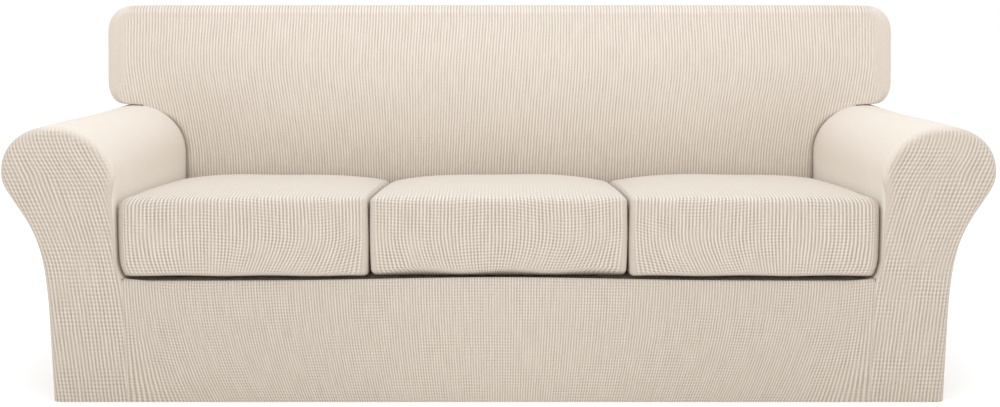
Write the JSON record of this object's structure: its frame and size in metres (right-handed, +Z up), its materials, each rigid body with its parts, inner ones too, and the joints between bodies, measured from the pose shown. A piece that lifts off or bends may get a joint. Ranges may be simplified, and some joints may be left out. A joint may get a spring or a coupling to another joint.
{
  "type": "sofa slipcover",
  "caption": "Fitted stretch cover for a sofa with rolled arms and a T-shaped back, open at the floor, with loose seat cushion covers.",
  "frame": {"origin": "on the floor, in the middle of the footprint", "axes": "+X along the seat towards the right arm as seen from the front, +Y from the seat towards the back, +Z up"},
  "size_m": [2.266, 0.9, 0.909],
  "materials": {
    "fabric": "matte knitted rib with a small check relief"
  },
  "bodies": {
    "root": {"back_front_panel": "fabric", "back_rear_panel": "fabric", "seat_and_skirt_panel": "fabric", "arm_panel_left": "fabric", "arm_panel_right": "fabric", "arm_front_left": "fabric", "arm_front_right": "fabric", "cushion_cover_left": "fabric", "cushion_cover_middle": "fabric", "cushion_cover_right": "fabric"}
  },
  "joints": []
}
